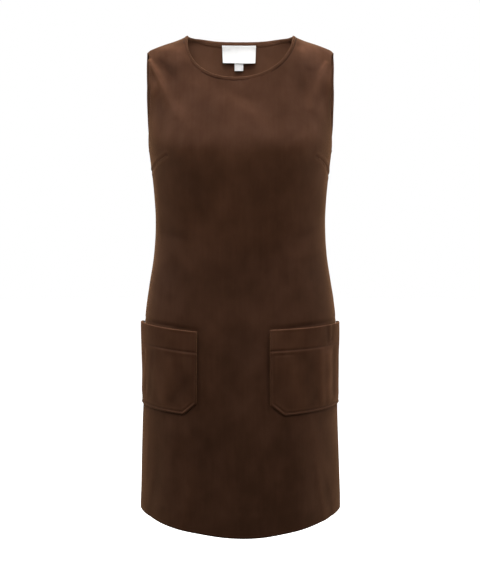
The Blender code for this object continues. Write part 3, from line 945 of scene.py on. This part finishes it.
def make_label(name, sizes, material, node):
    """A thin woven patch held at its top edge, its lower edge standing a little off the cloth."""
    rows, columns = 26, 34
    down, across = np.meshgrid(np.linspace(1, 0, rows), np.linspace(0.5, -0.5, columns), indexing="ij")
    x = sizes["x"] + across * sizes["wide"]
    z = sizes["top"] - down * sizes["tall"]
    v, w = panel_places(x, z, False)
    normal = outward(v, w)
    curl = sizes["curl"] * down**1.6 * (1 + 0.10 * np.sin(across * 5 + sizes["seed"]))
    lift = CLOTH + BINDING_PROUD + GAP + sizes["stand"] + curl
    lift = lift + 0.25 * np.sin(across * 7.0 + sizes["seed"]) * down
    outer = outer_face(v, w) - normal * lift[..., None]
    inner = outer - normal * LABEL_THICK
    uv = np.stack([across * sizes["wide"], z], axis=-1)
    mesh = wall_mesh(name, outer, inner, uv, wall_faces(rows, columns))
    return add_piece(mesh, material, node)


# ---- Materials


def put(value, socket):
    """Sets an input to a number, vector or colour, or links an output to it."""
    if isinstance(value, tuple):
        socket.default_value = (*value, 1.0)[: len(socket.default_value)]
    elif isinstance(value, (int, float)):
        socket.default_value = value
    elif value is not None:
        socket.id_data.links.new(value, socket)


class Nodes:
    """Adds nodes to a material and links them."""

    def __init__(self, name):
        self.material = bpy.data.materials.new(name)
        self.material.use_nodes = True
        self.tree = self.material.node_tree

    def add(self, kind, inputs=None, **settings):
        node = self.tree.nodes.new("ShaderNode" + kind)
        for key, value in settings.items():
            setattr(node, key, value)
        for key, value in (inputs or {}).items():
            put(value, node.inputs[key])
        return node

    def surface(self, inputs):
        for key, value in inputs.items():
            put(value, self.tree.nodes["Principled BSDF"].inputs[key])
        return self.material

    def cloth(self):
        """The place in the flat cloth, and the distances across and along it."""
        place = self.add("UVMap", uv_map="cloth").outputs["UV"]
        return place, *self.add("SeparateXYZ", {0: place}).outputs[:2]

    def math(self, operation, first, second=None):
        return self.add("Math", {0: first, 1: second}, operation=operation).outputs[0]

    def weighted(self, *parts):
        """The sum of the values, each times its weight."""
        total, *others = [self.math("MULTIPLY", value, weight) for value, weight in parts]
        for other in others:
            total = self.math("ADD", total, other)
        return total

    def waves(self, distance, pitch):
        return self.math("SINE", self.math("MULTIPLY", distance, 2 * math.pi / (pitch * MM)))

    def noise(self, vector, scale, detail=2.0, rough=0.5):
        """Noise at one scale, or at its own along each axis."""
        if isinstance(scale, tuple):
            vector = self.add("Mapping", {"Scale": scale, "Vector": vector}).outputs["Vector"]
            scale = 1.0
        inputs = {"Scale": scale, "Detail": detail, "Roughness": rough, "Vector": vector}
        return self.add("TexNoise", inputs).outputs["Fac"]

    def mix(self, factor, first, second, kind="MIX"):
        inputs = {"Factor": factor, 6: first, 7: second}
        return self.add("Mix", inputs, data_type="RGBA", blend_type=kind).outputs[2]

    def ranged(self, value, low, high, to_low=0.0, to_high=1.0):
        inputs = {"Value": value, "From Min": low, "From Max": high, "To Min": to_low, "To Max": to_high}
        return self.add("MapRange", inputs).outputs["Result"]

    def mark(self, name):
        return self.add("Attribute", attribute_name=name).outputs["Fac"]

    def bump(self, height, strength, distance):
        inputs = {"Strength": strength, "Distance": distance, "Height": height}
        return self.add("Bump", inputs).outputs["Normal"]


def cord_material(name):
    """Needlecord: fine wales of brushed pile, softly mottled, and paler on its inner side.

    Its outer tone is painted lighter where the cloth faces up, as painted light from above, and lighter on
    the creases' ridges and darker in their troughs, as painted light and shade.
    """
    nodes = Nodes(name)
    cloth, across, _ = nodes.cloth()
    place = nodes.add("TexCoord").outputs["Object"]
    waver = nodes.noise(cloth, (90.0, 25.0, 1.0))
    wales = nodes.waves(nodes.math("ADD", across, nodes.math("MULTIPLY", waver, WALE_WAVER)), WALE)
    clouds = nodes.noise(place, 9.0, 3.0, 0.55)
    patches = nodes.noise(place, (38.0, 38.0, 26.0), 3.0, 0.55)
    streaks = nodes.noise(cloth, (190.0, 14.0, 1.0), 3.0, 0.6)
    pile = nodes.noise(cloth, 1500.0, 2.0, 0.6)
    grain = nodes.math("SUBTRACT", pile, 0.5)
    nap = nodes.weighted((clouds, 0.46), (patches, 0.38), (streaks, 0.16), (grain, 0.10))
    outer = nodes.mix(nodes.ranged(nap, 0.40, 0.50), CORD_DARK, CORD_BROWN)
    outer = nodes.mix(nodes.ranged(nap, 0.50, 0.62), outer, CORD_LIGHT)
    normal = nodes.add("NewGeometry").outputs["Normal"]
    upward = nodes.add("SeparateXYZ", {0: normal}).outputs[2]
    # painted light from above, lighter where the cloth faces up
    facing_light = FACING_SHADE_BASE
    for low, high, lighter in FACING_LIGHT_STEPS:
        lighter = nodes.mix(nodes.ranged(upward, low, high), (0.0, 0.0, 0.0), lighter)
        facing_light = nodes.mix(1.0, lighter, facing_light, "ADD")
    # painted light and shade: lighter on the creases' ridges, darker in their troughs and dart grooves
    crease_shade = nodes.ranged(nodes.mark("ridge"), *CREASE_SHADE_RANGE)
    outer = nodes.mix(1.0, nodes.mix(1.0, outer, facing_light, "MULTIPLY"), crease_shade, "MULTIPLY")
    inner = nodes.mix(nodes.ranged(nap, 0.38, 0.62), INSIDE_DARK, INSIDE_BROWN)
    tone = nodes.mix(nodes.ranged(nodes.mark("inside"), 0.45, 0.55), outer, inner)
    height = nodes.weighted((wales, 0.30), (pile, 0.55), (streaks, 0.35))
    return nodes.surface(
        {
            "Base Color": nodes.mix(1.0, tone, nodes.ranged(wales, -1.0, -0.2, 0.82, 1.0), "MULTIPLY"),
            "Normal": nodes.bump(height, 0.40, 0.0004),
            "Roughness": nodes.ranged(pile, 0.3, 0.7, 0.88, 0.98),
            "Specular IOR Level": 0.02,
            "Sheen Weight": 0.30,
            "Sheen Roughness": 0.34,
            "Sheen Tint": (0.70, 0.37, 0.18),
        }
    )


def darker(colour, share):
    return tuple(share * part for part in colour)


def thread_material(name, colour):
    nodes = Nodes(name)
    place = nodes.add("TexCoord").outputs["Object"]
    twist = nodes.noise(place, (2600.0, 2600.0, 2600.0), 1.0)
    tone = nodes.mix(nodes.ranged(twist, 0.35, 0.65), darker(colour, 0.7), colour)
    return nodes.surface({"Base Color": tone, "Roughness": 0.7, "Specular IOR Level": 0.08})


def satin_material(name):
    """Bare white woven tape, its threads just showing."""
    nodes = Nodes(name)
    cloth, across, along = nodes.cloth()
    weave = nodes.math("MULTIPLY", nodes.waves(across, 0.35), nodes.waves(along, 0.5))
    cloudy = nodes.noise(cloth, (60.0, 130.0, 1.0))
    return nodes.surface(
        {
            "Base Color": nodes.mix(nodes.ranged(cloudy, 0.3, 0.7), darker(LABEL_WHITE, 0.95), LABEL_WHITE),
            "Normal": nodes.bump(weave, 0.25, 0.0001),
            "Roughness": 0.45,
            "Specular IOR Level": 0.4,
            "Sheen Weight": 0.1,
        }
    )


# ---- Stage, light and camera


def make_stage():
    bpy.ops.mesh.primitive_plane_add(size=14, location=(0, 0, -1.25))
    floor = bpy.context.object
    floor.name = "floor"
    pale = {"Base Color": (0.9, 0.9, 0.9), "Roughness": 0.8}
    glow = {"Emission Color": (1.0, 1.0, 1.0), "Emission Strength": 1.0}
    floor.data.materials.append(Nodes("pale_floor").surface({**pale, **glow}))
    floor.visible_diffuse = False
    floor.visible_glossy = False
    # the camera sees a white world, which lights the dress less than it would
    world = bpy.data.worlds.new("studio")
    bpy.context.scene.world = world
    world.use_nodes = True
    nodes = world.node_tree.nodes
    ambient, white = nodes["Background"], nodes.new("ShaderNodeBackground")
    for background, strength in ((ambient, AMBIENT), (white, 1.0)):
        put((1.0, 1.0, 1.0), background.inputs["Color"])
        put(strength, background.inputs["Strength"])
    mixed = nodes.new("ShaderNodeMixShader")
    put(nodes.new("ShaderNodeLightPath").outputs["Is Camera Ray"], mixed.inputs[0])
    put(ambient.outputs[0], mixed.inputs[1])
    put(white.outputs[0], mixed.inputs[2])
    put(mixed.outputs[0], nodes["World Output"].inputs["Surface"])


AMBIENT = 0.14
# name, place, height aimed at, size and watts
LAMPS = [
    ("key", 0.0, -0.88, 0.74, -0.10, 0.9, 0.6, 12.0),
    ("front_near", 0.0, -0.95, 0.22, -0.10, 0.5, 0.5, 6.5),
    ("front_left", -1.15, -0.45, 0.42, -0.12, 0.35, 0.35, 7.0),
    ("front_right", 1.15, -0.45, 0.42, -0.12, 0.35, 0.35, 5.5),
    ("front_fill", 0.0, -2.2, -0.1, -0.4, 1.4, 1.4, 5.4),
    ("rear", 0.0, 1.0, 0.95, -0.15, 1.0, 0.7, 17.0),
    ("left_side", -1.35, 0.45, -0.35, -0.45, 0.6, 1.6, 20.5),
    ("right_side", 1.35, 0.45, -0.35, -0.45, 0.6, 1.6, 26.0),
]


def make_lamps():
    for name, x, y, z, aim_z, wide, tall, watts in LAMPS:
        data = bpy.data.lights.new(name, "AREA")
        data.shape = "RECTANGLE"
        data.size, data.size_y, data.energy = wide, tall, watts
        light = bpy.data.objects.new(name, data)
        bpy.context.scene.collection.objects.link(light)
        light.location = (x, y, z)
        aim = Vector((0.0, 0.0, aim_z)) - light.location
        light.rotation_euler = aim.to_track_quat("-Z", "Y").to_euler()


def make_camera():
    data = bpy.data.cameras.new("camera")
    data.sensor_fit = "VERTICAL"
    data.sensor_height = 36.0
    data.lens = 57.0
    camera = bpy.data.objects.new("camera", data)
    bpy.context.scene.collection.objects.link(camera)
    camera.location = (-0.0007, -1.65, -0.275)
    camera.rotation_euler = (math.radians(84.30), 0.0, 0.0)
    bpy.context.scene.camera = camera
    bpy.context.scene.view_settings.view_transform = "Standard"


# ---- The pieces


def main():
    parts = ("front", "back", "binding", "pocket")
    front_cord, back_cord, binding_cord, pocket_cord = [cord_material(f"{part}_cord_look") for part in parts]
    thread = thread_material("thread_look", THREAD)
    # the near-black of the dart and neck seams, painted shade in their grooves
    seam_shade_thread = thread_material("seam_shade_look", SEAM_SHADE)
    satin = satin_material("satin_look")

    front = make_panel("front_cloth", True, FINE_FRONT, front_cord, "front")
    back = make_panel("back_cloth", False, FINE_BACK, back_cord, "back")
    darts = make_darts(front_cord, seam_shade_thread)
    band, seams = make_binding(binding_cord, seam_shade_thread)
    pockets = [make_pocket(name, pocket_cord, thread) for name in POCKETS]
    label = make_label("label_cloth", LABEL, satin, "label_main")
    tab = make_label("size_tab_cloth", SIZE_TAB, satin, "label_size")

    make_stage()
    make_lamps()
    make_camera()


main()
